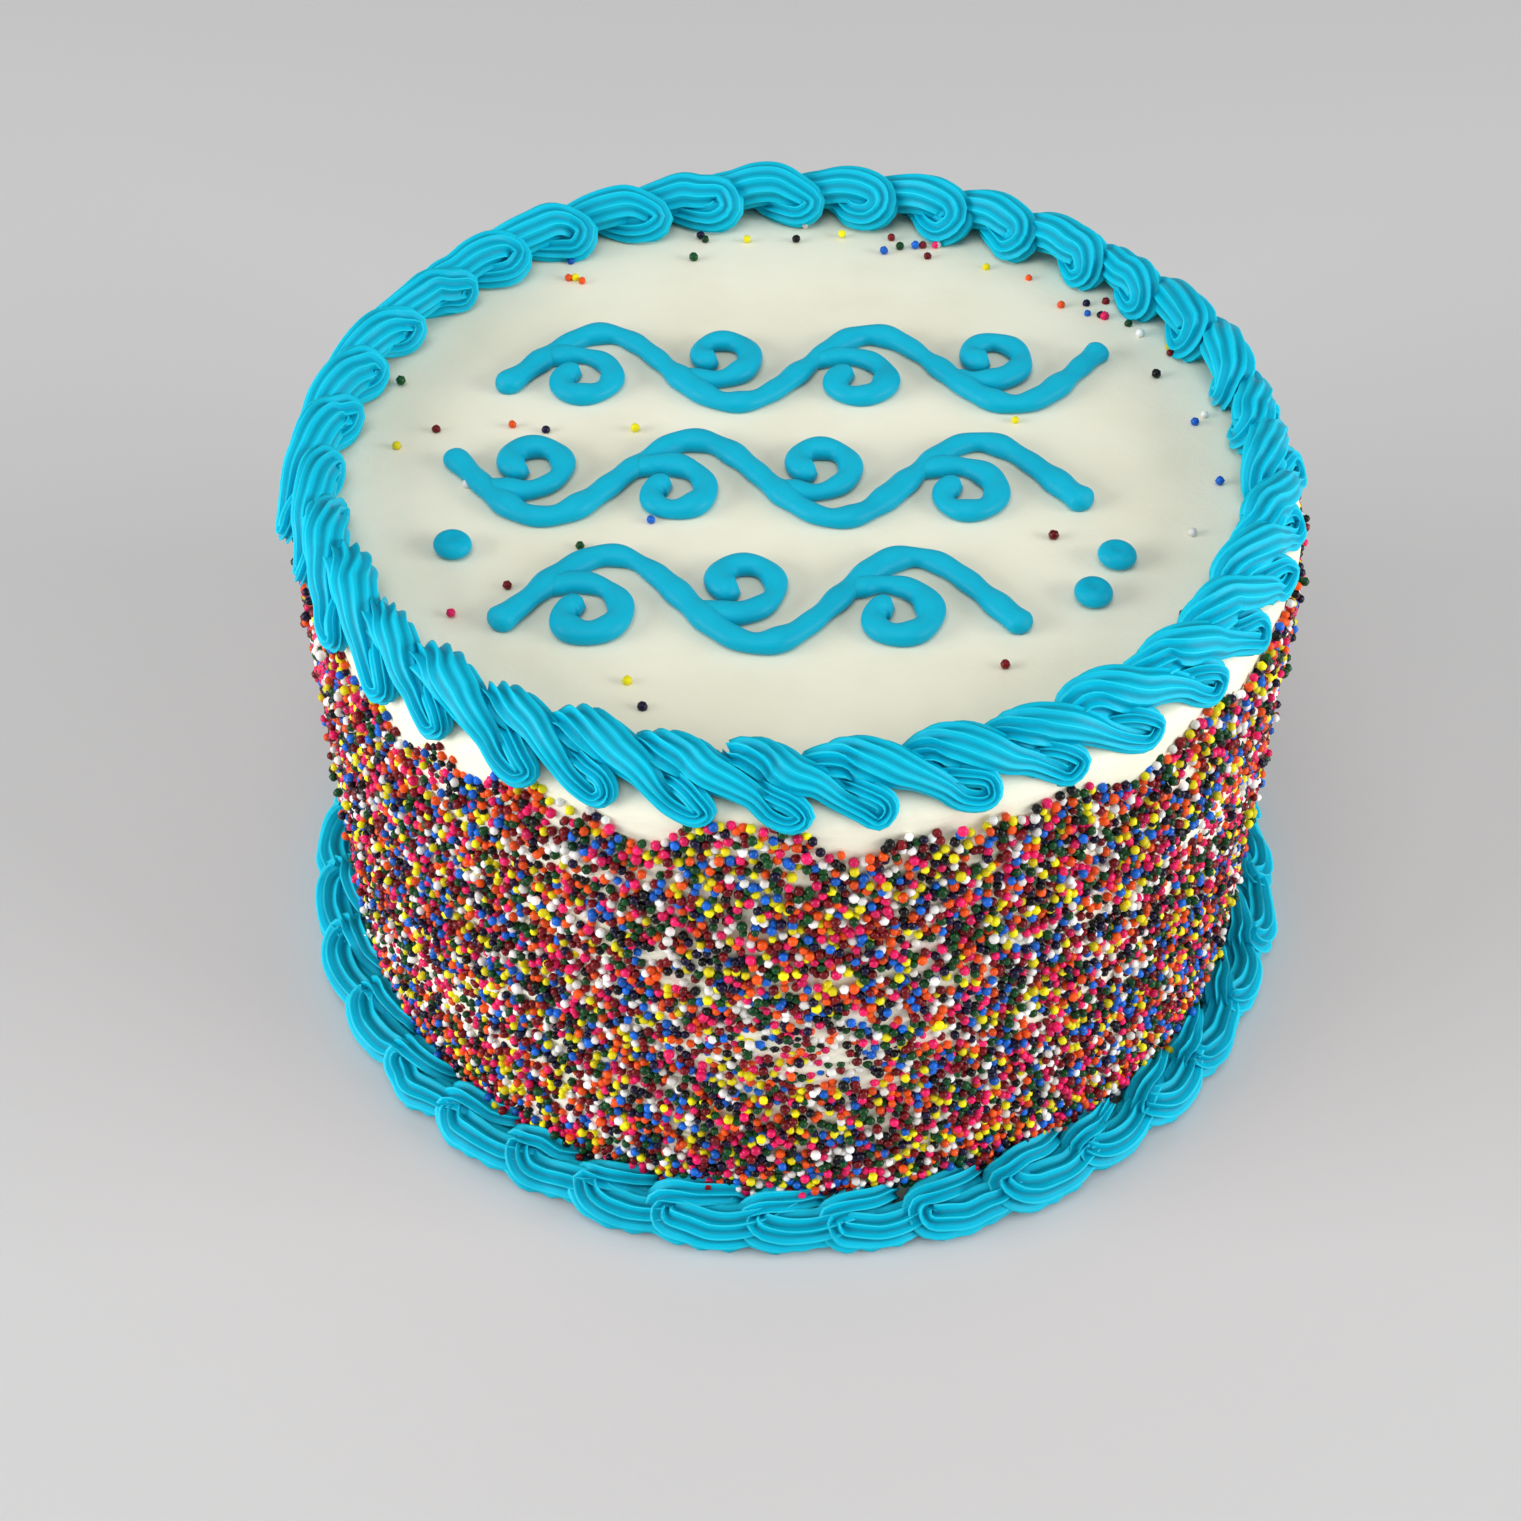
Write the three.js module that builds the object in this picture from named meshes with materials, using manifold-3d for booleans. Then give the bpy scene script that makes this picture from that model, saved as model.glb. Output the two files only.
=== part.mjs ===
// A round, tall birthday cake, iced white, with sprinkles on its side and blue piping.
// Millimetres, +Z up. The origin is the middle of the cake's underside, on the plane it rests on.
// The front of the cake, where the piped rows read upright, faces -Y.

import * as THREE from 'three';
import { mergeVertices } from 'three/addons/utils/BufferGeometryUtils.js';
import Module from 'manifold-3d';

const wasm = await Module();
wasm.setup();

// Driving dimensions of the cake under its piping.
const CAKE_HEIGHT = 117.5;
const CAKE_RADIUS = 100;
const CAKE_SIDES = 48;
const TOP_EDGE_ROUND = 5;
const FOOT_ROUND = 1.5;
const ICING_GAP = 0.3;

// Both borders are one round of strokes piped with a star tip, each over the tail of the last.
// The strokes crowd on one side of the cake, and are larger at its back than at its front.
const STROKES = 35;
const PITCH_ANGLE = (2 * Math.PI) / STROKES;
const STROKE_DRIFT = THREE.MathUtils.degToRad(4.2);
const STROKE_SWELL = 0.08;
const STROKE_UNEVEN = 0.13;
const STROKE_STRAY = 2;
const STROKE_SWAY = 1.2;
const TOP_CRESTS = 5;
const FOOT_CRESTS = 4;
const CURL_CRESTS = 3;
const STAR_VALLEY = 0.8;

// Top border: a fat head tapering into a tail. Each stop of a stroke is its way along the ring,
// its reach out from it, and its width and height as shares of the border's.
const TOP_BORDER_RADIUS = 94;
const TOP_BORDER_START = THREE.MathUtils.degToRad(267);
const TOP_BORDER_HEIGHT = 10.4;
const TOP_BORDER_HALF_WIDTH = 5.2;
const TOP_BORDER_MIDDLE = [-1.5, -1.2];
const TOP_STOPS = [[-6.4, -1.8, 0.76, 0.76], [1.5, -1.5, 1, 1], [17.5, 2.6, 0.62, 0.44]];

// The curl that ends each top stroke hangs over the cake's edge, below the next stroke's head.
// Its stops are the way along, the reach out, the height over the cake's top and the girth.
const CURL_STOPS = [[9.6, 4.8, 0.2, 1.7], [6.2, 4.9, -0.1, 3.6], [-1.5, 3.2, 1.6, 3]];

// Foot border: a fat head and a thin tail in the corner under the cake's side, as stops like
// those of the top. A shell rests on the plane a little inside its widest place.
const FOOT_BORDER_START = THREE.MathUtils.degToRad(267.3);
const FOOT_BORDER_HEIGHT = 11.3;
const FOOT_BORDER_WIDTH = 11.4;
const FOOT_CONTACT = 0.8;
const FOOT_LOWEST_CREST = THREE.MathUtils.degToRad(15);
const FOOT_STOPS = [[-5, 0.4, 0.8, 0.82], [2, 0.4, 1, 1], [18.5, 0.4, 0.66, 0.66]];

// Sprinkles: small sugar balls pressed into the icing, those of the side a little deeper.
const SPRINKLE_RADIUS = 0.98;
const SPRINKLE_SUNK = 0.25;
const SIDE_SPRINKLE_SUNK = 0.4;
const SIDE_SPRINKLES = 27;
const SIDE_SPRINKLES_LOW = 21;
const SIDE_SPRINKLES_HIGH = 104;
const TOP_SPRINKLES = 6;
const TOP_SPRINKLES_INNER = 72;
const TOP_SPRINKLES_OUTER = 78;
const GOLDEN_ANGLE = Math.PI * (3 - Math.sqrt(5));

// Scroll work on the top: round-tip strands in three rows, with round drops between them.
const STRAND_WIDTH = 4.9;
const STRAND_HEIGHT = 3.9;
const STRAND_GIRTHS = [0.6, 1.3, 1];
const STEM_STEP = 8;
const STEM_POINTS = 6;
const CURL_STEP = 5.8;
const CURL_POINTS = 12;
const HALF_WAVE = 28.5;
const WAVE_RISE = 12.5;
const STEM_LEAD = 0.22;
const CURL_REACH_START = 11.5;
const CURL_REACH_END = 2.8;
const CURL_TURNS = 1.2;
const ROWS = [
  { name: 'scroll_back', left: -56, middle: 29, halfWaves: 4, side: 1 },
  { name: 'scroll_middle', left: -64, middle: -9, halfWaves: 4, side: -1 },
  { name: 'scroll_front', left: -50, middle: -45.5, halfWaves: 3, side: 1 },
];

// Round drops beside the rows, as [x, y] of their middles.
const DROP_RADIUS = 3.7;
const DROP_HEIGHT = 3.6;
const DROPS = [[54.5, -44], [60, -33], [-66, -31]];

const ICING_BLUE = { color: 0x08b0d8, roughness: 0.5, metalness: 0 };
const SCROLL_BLUE = { color: 0x10a0c8, roughness: 0.5, metalness: 0 };
const ICING_WHITE = { color: 0xf4f1e4, roughness: 0.6, metalness: 0 };

const cake = new THREE.Group();

// A repeatable uneven number from 0 to 1 for stroke or sprinkle number i.
function uneven(i, kind) {
  const wave = Math.sin(i * 12.9898 + kind * 78.233) * 43758.5453;
  return wave - Math.floor(wave);
}

function solidFrom(geometry) {
  geometry.deleteAttribute('normal');
  geometry.deleteAttribute('uv');
  const merged = mergeVertices(geometry, 1e-4);
  const mesh = new wasm.Mesh({
    numProp: 3,
    vertProperties: new Float32Array(merged.attributes.position.array),
    triVerts: new Uint32Array(merged.index.array),
  });
  return new wasm.Manifold(mesh);
}

function fuse(solids) {
  return wasm.Manifold.union(solids);
}

function addNode(name, solid, look) {
  const mesh = solid.getMesh();
  const geometry = new THREE.BufferGeometry();
  geometry.setAttribute('position', new THREE.BufferAttribute(mesh.vertProperties, 3));
  geometry.setIndex(new THREE.BufferAttribute(mesh.triVerts, 1));
  geometry.computeVertexNormals();
  const node = new THREE.Mesh(geometry, new THREE.MeshStandardMaterial(look));
  node.name = name;
  cake.add(node);
}

// The cake's outline from the axis out, turned about Z; grown gives the same form a little larger.
function cakeSolid(grown = 0) {
  const radius = CAKE_RADIUS + grown;
  const top = CAKE_HEIGHT + grown;
  const round = TOP_EDGE_ROUND + grown;
  const bottom = -grown;
  const profile = [new THREE.Vector2(0, bottom), new THREE.Vector2(radius - FOOT_ROUND, bottom)];
  profile.push(new THREE.Vector2(radius, bottom + FOOT_ROUND));
  const roundSteps = 2;
  for (let i = 0; i <= roundSteps; i += 1) {
    const turn = (i / roundSteps) * (Math.PI / 2);
    profile.push(new THREE.Vector2(
      radius - round + round * Math.cos(turn),
      top - round + round * Math.sin(turn),
    ));
  }
  profile.push(new THREE.Vector2(0, top));
  const geometry = new THREE.LatheGeometry(profile, CAKE_SIDES);
  geometry.rotateX(Math.PI / 2);
  return solidFrom(geometry);
}

// The tip's star, one unit out to its crests, or the part of it between two directions.
function starPoints(crests, valleys, from, to) {
  const steps = crests + valleys;
  const last = valleys === crests ? steps : steps - 1;
  return Array.from({ length: steps }, (_, i) => {
    const turn = THREE.MathUtils.lerp(from, to, i / last);
    const reach = i % 2 === 0 ? 1 : STAR_VALLEY;
    return new THREE.Vector2(reach * Math.cos(turn), reach * Math.sin(turn));
  });
}

// A straight bar of the outline, bent station by station: frameAt gives a place and two axes.
function bentBar(outline, stations, frameAt) {
  const frames = Array.from({ length: stations + 1 }, (_, i) => frameAt(i / stations, i));
  const bar = new THREE.ExtrudeGeometry(new THREE.Shape(outline), {
    depth: 1, steps: stations, bevelEnabled: false,
  });
  const place = bar.attributes.position;
  for (let i = 0; i < place.count; i += 1) {
    const frame = frames[Math.round(place.getZ(i) * stations)];
    const point = frame.at.clone()
      .addScaledVector(frame.across, place.getX(i))
      .addScaledVector(frame.up, place.getY(i));
    place.setXYZ(i, point.x, point.y, point.z);
  }
  return solidFrom(bar);
}

// A place on a ring, given by angle, radius, way along the ring, reach out from it and height.
function ringPlace(angle, radius, along, out, up) {
  const turn = angle + along / radius;
  return new THREE.Vector3(
    (radius + out) * Math.cos(turn), (radius + out) * Math.sin(turn), up,
  );
}

// Where stroke number i starts on its border, its size, and how far out of line it lies.
function strokeSetting(start, radius, i, kind) {
  const even = start + i * PITCH_ANGLE;
  const drifted = even - STROKE_DRIFT * Math.cos(even);
  return {
    angle: drifted + (STROKE_STRAY / radius) * (uneven(i, kind + 1) - 0.5),
    size: 1 + STROKE_SWELL * Math.sin(drifted) + STROKE_UNEVEN * (uneven(i, kind + 2) - 0.5),
    sway: STROKE_SWAY * (uneven(i, kind + 3) - 0.5),
  };
}

// A stroke lying on a flat face, its outline made wider and taller stop by stop.
function flatStroke(outline, setting, radius, floor, stops, width, height) {
  return bentBar(outline, stops.length - 1, (_, i) => {
    const [along, out, wide, tall] = stops[i];
    const turn = setting.angle + (along * setting.size) / radius;
    const outward = new THREE.Vector3(Math.cos(turn), Math.sin(turn), 0);
    const reach = out * setting.size + setting.sway;
    return {
      at: ringPlace(setting.angle, radius, along * setting.size, reach, floor),
      across: outward.multiplyScalar(-wide * width * setting.size),
      up: new THREE.Vector3(0, 0, tall * height * setting.size),
    };
  });
}

// The body of a top stroke: a fan of ridges, fat at its head, running out into the tail.
function topStroke(i) {
  const fan = starPoints(TOP_CRESTS, TOP_CRESTS - 1, 0, Math.PI);
  const setting = strokeSetting(TOP_BORDER_START, TOP_BORDER_RADIUS, i, 0);
  const floor = CAKE_HEIGHT + ICING_GAP;
  return flatStroke(
    fan, setting, TOP_BORDER_RADIUS, floor, TOP_STOPS, TOP_BORDER_HALF_WIDTH, TOP_BORDER_HEIGHT,
  );
}

// The curl of a top stroke, closed at its end.
function topCurl(i) {
  const { angle, size, sway } = strokeSetting(TOP_BORDER_START, TOP_BORDER_RADIUS, i, 0);
  const curve = new THREE.CatmullRomCurve3(CURL_STOPS.map(([along, out, up]) => ringPlace(
    angle, TOP_BORDER_RADIUS, along * size, out * size + sway, CAKE_HEIGHT + up * size,
  )));
  const stations = CURL_STOPS.length - 1;
  const frames = curve.computeFrenetFrames(stations, false);
  const star = starPoints(CURL_CRESTS, CURL_CRESTS, 0, 2 * Math.PI);
  return bentBar(star, stations, (way, station) => ({
    at: curve.getPointAt(way),
    across: frames.normals[station].clone().multiplyScalar(CURL_STOPS[station][3] * size),
    up: frames.binormals[station].clone().multiplyScalar(CURL_STOPS[station][3] * size),
  }));
}

// One shell of the foot border: a fan in the corner between the cake and the plane.
function footStroke(i) {
  const radius = CAKE_RADIUS + ICING_GAP;
  const setting = strokeSetting(FOOT_BORDER_START, radius, i, 10);
  const fan = [
    new THREE.Vector2(0, 0),
    ...starPoints(FOOT_CRESTS, FOOT_CRESTS - 1, Math.PI / 2, Math.PI - FOOT_LOWEST_CREST),
    new THREE.Vector2(-FOOT_CONTACT, 0),
  ];
  setting.sway = (i % 2) * ICING_GAP;
  return flatStroke(
    fan, setting, radius, 0, FOOT_STOPS, FOOT_BORDER_WIDTH, FOOT_BORDER_HEIGHT,
  );
}

function ringOf(stroke) {
  return fuse(Array.from({ length: STROKES }, (_, i) => stroke(i)));
}

function sprinkle(x, y, z, turn) {
  const geometry = new THREE.IcosahedronGeometry(SPRINKLE_RADIUS, 0);
  geometry.rotateZ(turn);
  geometry.translate(x, y, z);
  return solidFrom(geometry);
}

// Side sprinkles wind up the cake by the golden angle, which spreads them evenly.
function sideSprinkles() {
  const rise = (SIDE_SPRINKLES_HIGH - SIDE_SPRINKLES_LOW) / (SIDE_SPRINKLES - 1);
  const reach = CAKE_RADIUS + SPRINKLE_RADIUS - SIDE_SPRINKLE_SUNK;
  return Array.from({ length: SIDE_SPRINKLES }, (_, i) => {
    const turn = i * GOLDEN_ANGLE;
    const height = SIDE_SPRINKLES_LOW + rise * i;
    return sprinkle(reach * Math.cos(turn), reach * Math.sin(turn), height, turn);
  });
}

// Loose sprinkles on the top lie between the scroll work and the foot of the top border.
function topSprinkles() {
  const height = CAKE_HEIGHT + SPRINKLE_RADIUS - SPRINKLE_SUNK;
  return Array.from({ length: TOP_SPRINKLES }, (_, i) => {
    const turn = (i / TOP_SPRINKLES) * 2 * Math.PI + 0.3 * uneven(i, 6);
    const reach = THREE.MathUtils.lerp(TOP_SPRINKLES_INNER, TOP_SPRINKLES_OUTER, uneven(i, 7));
    return sprinkle(reach * Math.cos(turn), reach * Math.sin(turn), height, turn);
  });
}

// A strand lies flat on the icing and is round above, one unit being half its width.
function strandOutline() {
  const rise = (2 * STRAND_HEIGHT) / STRAND_WIDTH;
  return new THREE.Shape([
    new THREE.Vector2(0, -1), new THREE.Vector2(0, 1),
    new THREE.Vector2(rise, 0.5), new THREE.Vector2(rise, -0.5),
  ]);
}

// A strand along flat points [x, y], a little fatter at its two ends.
function strand(flatPoints, step) {
  const curve = new THREE.CatmullRomCurve3(
    flatPoints.map(([x, y]) => new THREE.Vector3(x, y, CAKE_HEIGHT + ICING_GAP)),
    false, 'centripetal',
  );
  const stations = Math.max(4, Math.round(curve.getLength() / step));
  const bar = new THREE.ExtrudeGeometry(strandOutline(), {
    depth: 1, steps: stations, bevelEnabled: false,
  });
  const up = new THREE.Vector3(0, 0, 1);
  const place = bar.attributes.position;
  for (let i = 0; i < place.count; i += 1) {
    const station = Math.round(place.getZ(i) * stations);
    const along = station / stations;
    const tangent = curve.getTangentAt(along);
    const side = new THREE.Vector3().crossVectors(tangent, up).normalize();
    const toEnd = Math.min(station, stations - station);
    const girth = STRAND_GIRTHS[Math.min(toEnd, STRAND_GIRTHS.length - 1)] * (STRAND_WIDTH / 2);
    const point = curve.getPointAt(along)
      .addScaledVector(up, place.getX(i) * girth)
      .addScaledVector(side, place.getY(i) * girth);
    place.setXYZ(i, point.x, point.y, point.z);
  }
  return solidFrom(bar);
}

// The stem of one row: half waves to and fro across the row's middle line.
function stemPoints(row) {
  const steps = row.halfWaves * STEM_POINTS;
  return Array.from({ length: steps + 1 }, (_, i) => {
    const phase = THREE.MathUtils.lerp(-STEM_LEAD, row.halfWaves + STEM_LEAD, i / steps);
    return [
      row.left + phase * HALF_WAVE,
      row.middle + row.side * WAVE_RISE * Math.sin(phase * Math.PI),
    ];
  });
}

// A curl that leaves the stem along it where it crosses the middle line, and winds inwards.
function curlPoints(row, halfWave) {
  const facing = row.side * (halfWave % 2 === 0 ? 1 : -1);
  const turn = (CURL_TURNS * 2 * Math.PI) / CURL_POINTS;
  let heading = Math.atan((WAVE_RISE * Math.PI) / HALF_WAVE);
  let x = row.left + halfWave * HALF_WAVE;
  let y = 0;
  const points = [[x, row.middle]];
  for (let i = 0; i < CURL_POINTS; i += 1) {
    const share = (i + 0.5) / CURL_POINTS;
    const reach = CURL_REACH_START * (CURL_REACH_END / CURL_REACH_START) ** share;
    x += reach * turn * Math.cos(heading - turn / 2);
    y += reach * turn * Math.sin(heading - turn / 2);
    heading -= turn;
    points.push([x, row.middle + facing * y]);
  }
  return points;
}

function scrollRow(row) {
  const strands = [strand(stemPoints(row), STEM_STEP)];
  for (let halfWave = 0; halfWave < row.halfWaves; halfWave += 1) {
    strands.push(strand(curlPoints(row, halfWave), CURL_STEP));
  }
  return fuse(strands);
}

// A drop is flat below and domed above.
function drop([x, y]) {
  const profile = [
    new THREE.Vector2(0, 0), new THREE.Vector2(DROP_RADIUS * 0.85, 0),
    new THREE.Vector2(DROP_RADIUS, DROP_HEIGHT * 0.4),
    new THREE.Vector2(DROP_RADIUS * 0.6, DROP_HEIGHT * 0.9), new THREE.Vector2(0, DROP_HEIGHT),
  ];
  const geometry = new THREE.LatheGeometry(profile, 8);
  geometry.rotateX(Math.PI / 2);
  geometry.translate(x, y, CAKE_HEIGHT + ICING_GAP);
  return solidFrom(geometry);
}

// Build every node.
const grownCake = cakeSolid(ICING_GAP);
addNode('cake_body', fuse([cakeSolid(), ...sideSprinkles(), ...topSprinkles()]), ICING_WHITE);
const topRing = ringOf(topStroke).add(ringOf(topCurl)).translate([...TOP_BORDER_MIDDLE, 0]);
addNode('top_border', topRing.subtract(grownCake), ICING_BLUE);
addNode('bottom_border', ringOf(footStroke), ICING_BLUE);
ROWS.forEach((row) => addNode(row.name, scrollRow(row), SCROLL_BLUE));
DROPS.forEach((place, i) => addNode(`drop_${i + 1}`, drop(place), SCROLL_BLUE));

export default cake;
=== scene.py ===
"""A round birthday cake: ivory buttercream, blue piped borders, scroll work and round sprinkles.

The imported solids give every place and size. Each class below builds one sub-assembly of the
cake as finer meshes of the same form, dresses it, and puts it in place of its solids.
Lengths are in millimetres until a mesh is written, and angles are in degrees where a name says so.
"""
import logging
import math
from collections.abc import Sequence
from dataclasses import astuple, dataclass, field
from enum import Enum

import bpy
import numpy as np
from mathutils import Matrix, Vector


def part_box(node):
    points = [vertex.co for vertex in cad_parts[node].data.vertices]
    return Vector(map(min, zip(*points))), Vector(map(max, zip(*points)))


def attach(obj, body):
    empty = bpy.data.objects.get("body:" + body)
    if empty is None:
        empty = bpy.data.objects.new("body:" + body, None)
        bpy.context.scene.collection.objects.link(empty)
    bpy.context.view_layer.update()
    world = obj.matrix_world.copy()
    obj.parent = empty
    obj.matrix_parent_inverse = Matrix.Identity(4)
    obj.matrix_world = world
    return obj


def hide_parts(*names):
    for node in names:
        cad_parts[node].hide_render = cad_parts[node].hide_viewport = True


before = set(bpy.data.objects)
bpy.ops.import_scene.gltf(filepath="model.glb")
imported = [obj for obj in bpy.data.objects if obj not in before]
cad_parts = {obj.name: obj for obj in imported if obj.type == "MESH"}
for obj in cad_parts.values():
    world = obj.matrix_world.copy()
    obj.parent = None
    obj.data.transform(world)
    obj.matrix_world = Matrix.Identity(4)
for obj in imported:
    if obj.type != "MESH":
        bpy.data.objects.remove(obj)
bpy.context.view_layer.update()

log = logging.getLogger("cake")

MM = 0.001
BODY = "root"
ICING_GAP = 0.3
CAKE_RADIUS = 100.0
STROKES = 35
PITCH = math.tau / STROKES
DRIFT = math.radians(4.2)
SWELL = 0.08
TOP_SHIFT = (1.5, 1.2)
# Numbers that keep the draws of one shell's stops apart from the next shell's.
WOBBLE_STRIDE = 17
GIRTH_STRIDE = 31

Colour = tuple[float, float, float]
Place = tuple[float, float, float]
Points = np.ndarray


def box_mm(node: str) -> tuple[Vector, Vector]:
    """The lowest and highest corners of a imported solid, in millimetres."""
    low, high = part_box(node)
    return Vector(low) / MM, Vector(high) / MM


DECK = box_mm("drop_1")[0].z - ICING_GAP


def paint(red: int, green: int, blue: int) -> Colour:
    """Turns a display colour into scene-linear light.

    Args:
        red: display red, 0 to 255.
        green: display green, 0 to 255.
        blue: display blue, 0 to 255.

    Returns:
        The linear colour.
    """
    def linear(value: int) -> float:
        """One channel, by the display curve."""
        share = value / 255
        return share / 12.92 if share <= 0.04045 else ((share + 0.055) / 1.055) ** 2.4
    return linear(red), linear(green), linear(blue)


def uneven(index: float, kind: float) -> float:
    """A repeatable share from 0 to 1, another one for each index and kind."""
    return math.sin(index * 12.9898 + kind * 78.233) * 43758.5453 % 1


def mix(start: float, end: float, share: float) -> float:
    """The value a share of the way from start to end."""
    return start + (end - start) * share


class Wire:
    """One socket of a shader, with the arithmetic that the finishes are written in."""

    def __init__(self, graph: "Graph", socket: bpy.types.NodeSocket) -> None:
        """Keeps the graph, so that an expression can add its nodes there."""
        self.graph = graph
        self.socket = socket

    def math(self, operation: str, *values: "Wire | float") -> "Wire":
        """Adds one Math node.

        Args:
            operation: the node's operation.
            values: its inputs in order, sockets or numbers.

        Returns:
            The node's result.
        """
        return self.graph.node("ShaderNodeMath", {"operation": operation},
                               dict(enumerate(values)))

    def __add__(self, other: "Wire | float") -> "Wire":
        """Sum."""
        return self.math("ADD", self, other)

    def __radd__(self, other: "Wire | float") -> "Wire":
        """Sum, with the number first."""
        return self.math("ADD", other, self)

    def __mul__(self, other: "Wire | float") -> "Wire":
        """Product."""
        return self.math("MULTIPLY", self, other)

    def __rmul__(self, other: "Wire | float") -> "Wire":
        """Product, with the number first."""
        return self.math("MULTIPLY", other, self)

    def between(self, low: float, high: float) -> "Wire":
        """A smooth rise from 0 at low to 1 at high."""
        return self.graph.node("ShaderNodeMapRange", {"interpolation_type": "SMOOTHSTEP"},
                               {"Value": self, "From Min": low, "From Max": high})


class Graph:
    """The nodes of one material."""

    def __init__(self, name: str) -> None:
        """Starts a material with its output and an empty shader."""
        self.material = bpy.data.materials.new(name)
        self.material.use_nodes = True
        self.tree = self.material.node_tree
        self.tree.nodes.clear()

    def node(self, kind: str, settings: dict[str, object] | None = None,
             inputs: dict[str | int, object] | None = None, out: str | int = 0) -> Wire:
        """Adds a node: its settings first, then the values or links of its sockets.

        Args:
            kind: the node's type.
            settings: its properties.
            inputs: socket name, identifier or number, with a Wire, a number or a tuple.
            out: the output that is handed back.

        Returns:
            The chosen output, or the first one.
        """
        made = self.tree.nodes.new(kind)
        for key, value in (settings or {}).items():
            setattr(made, key, value)
        for key, value in (inputs or {}).items():
            socket = self._socket(made.inputs, key)
            if isinstance(value, Wire):
                self.tree.links.new(value.socket, socket)
            elif isinstance(value, tuple) and len(value) < len(socket.default_value):
                socket.default_value = (*value, 1.0)
            else:
                socket.default_value = value
        return Wire(self, self._socket(made.outputs, out) if made.outputs else None)

    @staticmethod
    def _socket(sockets: Sequence[bpy.types.NodeSocket], key: str | int) -> bpy.types.NodeSocket:
        """Finds one socket.

        Args:
            sockets: a node's inputs or outputs.
            key: the socket's number, identifier or name.

        Returns:
            The socket.
        """
        if isinstance(key, int):
            return sockets[key]
        return next(s for s in sockets if key in (s.identifier, s.name))

    def place(self) -> Wire:
        """The point on the surface, in metres in the piece's own space."""
        return self.node("ShaderNodeTexCoord", out="Object")

    def scaled(self, place: Wire, scale: Colour) -> Wire:
        """The place with each direction stretched by its own number."""
        return self.node("ShaderNodeVectorMath", {"operation": "MULTIPLY"}, {0: place, 1: scale})

    def noise(self, place: Wire, scale: float, detail: float = 2.0,
              distortion: float = 0.0) -> Wire:
        """Cloudy noise from 0 to 1, with that many waves to the metre."""
        return self.node("ShaderNodeTexNoise", {"normalize": True},
                         {"Vector": place, "Scale": scale, "Detail": detail,
                          "Distortion": distortion}, out="Fac")

    def mixed(self, share: Wire | float, start: Wire | Colour, end: Wire | Colour) -> Wire:
        """A colour a share of the way from start to end."""
        return self.node("ShaderNodeMix", {"data_type": "RGBA"},
                         {"Factor_Float": share, "A_Color": start, "B_Color": end},
                         out="Result_Color")

    def mark(self, name: str) -> Wire:
        """A number kept at each point of the mesh."""
        return self.node("ShaderNodeAttribute", {"attribute_name": name}, out="Fac")

    def bump(self, height: Wire, strength: float, depth: float) -> Wire:
        """A normal from relief of that depth in metres."""
        return self.node("ShaderNodeBump", inputs={"Height": height, "Strength": strength,
                                                   "Distance": depth}, out="Normal")

    def finish(self, **inputs: object) -> bpy.types.Material:
        """Closes the graph with its surface shader.

        Args:
            inputs: the shader's sockets, with underscores for spaces.

        Returns:
            The material.
        """
        named = {key.replace("_", " "): value for key, value in inputs.items()}
        shader = self.node("ShaderNodeBsdfPrincipled", inputs=named, out="BSDF")
        self.node("ShaderNodeOutputMaterial", inputs={"Surface": shader})
        return self.material


@dataclass(frozen=True)
class WhiteIcing:
    """Smoothed ivory buttercream, with faint knife marks, and dye stains where sprinkles cling."""

    name: str = "ivory_buttercream"
    slot: str = "icing_white"
    colour: Colour = paint(244, 242, 222)
    shade: Colour = paint(237, 234, 211)
    stain: Colour = paint(232, 188, 196)
    streaks_to_metre: Colour = (30.0, 30.0, 420.0)
    cloud_waves: float = 34.0
    stain_waves: float = 240.0
    stain_share: float = 0.55
    swirl_waves: float = 90.0
    grain_waves: float = 1400.0
    grain_share: float = 0.2
    sheen_waves: float = 160.0
    relief_depth: float = 0.0006

    def material(self) -> bpy.types.Material:
        """Builds the finish.

        Returns:
            The material.
        """
        graph = Graph(self.name)
        place = graph.place()
        cloud = graph.noise(place, self.cloud_waves, 3.0)
        colour = graph.mixed(cloud.between(0.35, 0.75), self.colour, self.shade)
        blots = graph.noise(place, self.stain_waves, 3.0).between(0.48, 0.74)
        stained = graph.mark("stained") * blots
        colour = graph.mixed(stained * self.stain_share, colour, self.stain)
        knife = graph.noise(graph.scaled(place, self.streaks_to_metre), 1.0)
        swirl = graph.noise(place, self.swirl_waves, 4.0, 0.6)
        grain = graph.noise(place, self.grain_waves) * self.grain_share
        relief = grain + swirl + knife * graph.mark("side")
        return graph.finish(
            Base_Color=colour,
            Roughness=0.42 + 0.18 * graph.noise(place, self.sheen_waves), Specular_IOR_Level=0.3,
            Subsurface_Weight=0.12, Subsurface_Radius=(1.0, 0.8, 0.6), Subsurface_Scale=0.002,
            Normal=graph.bump(relief, 0.35, self.relief_depth))


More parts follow.
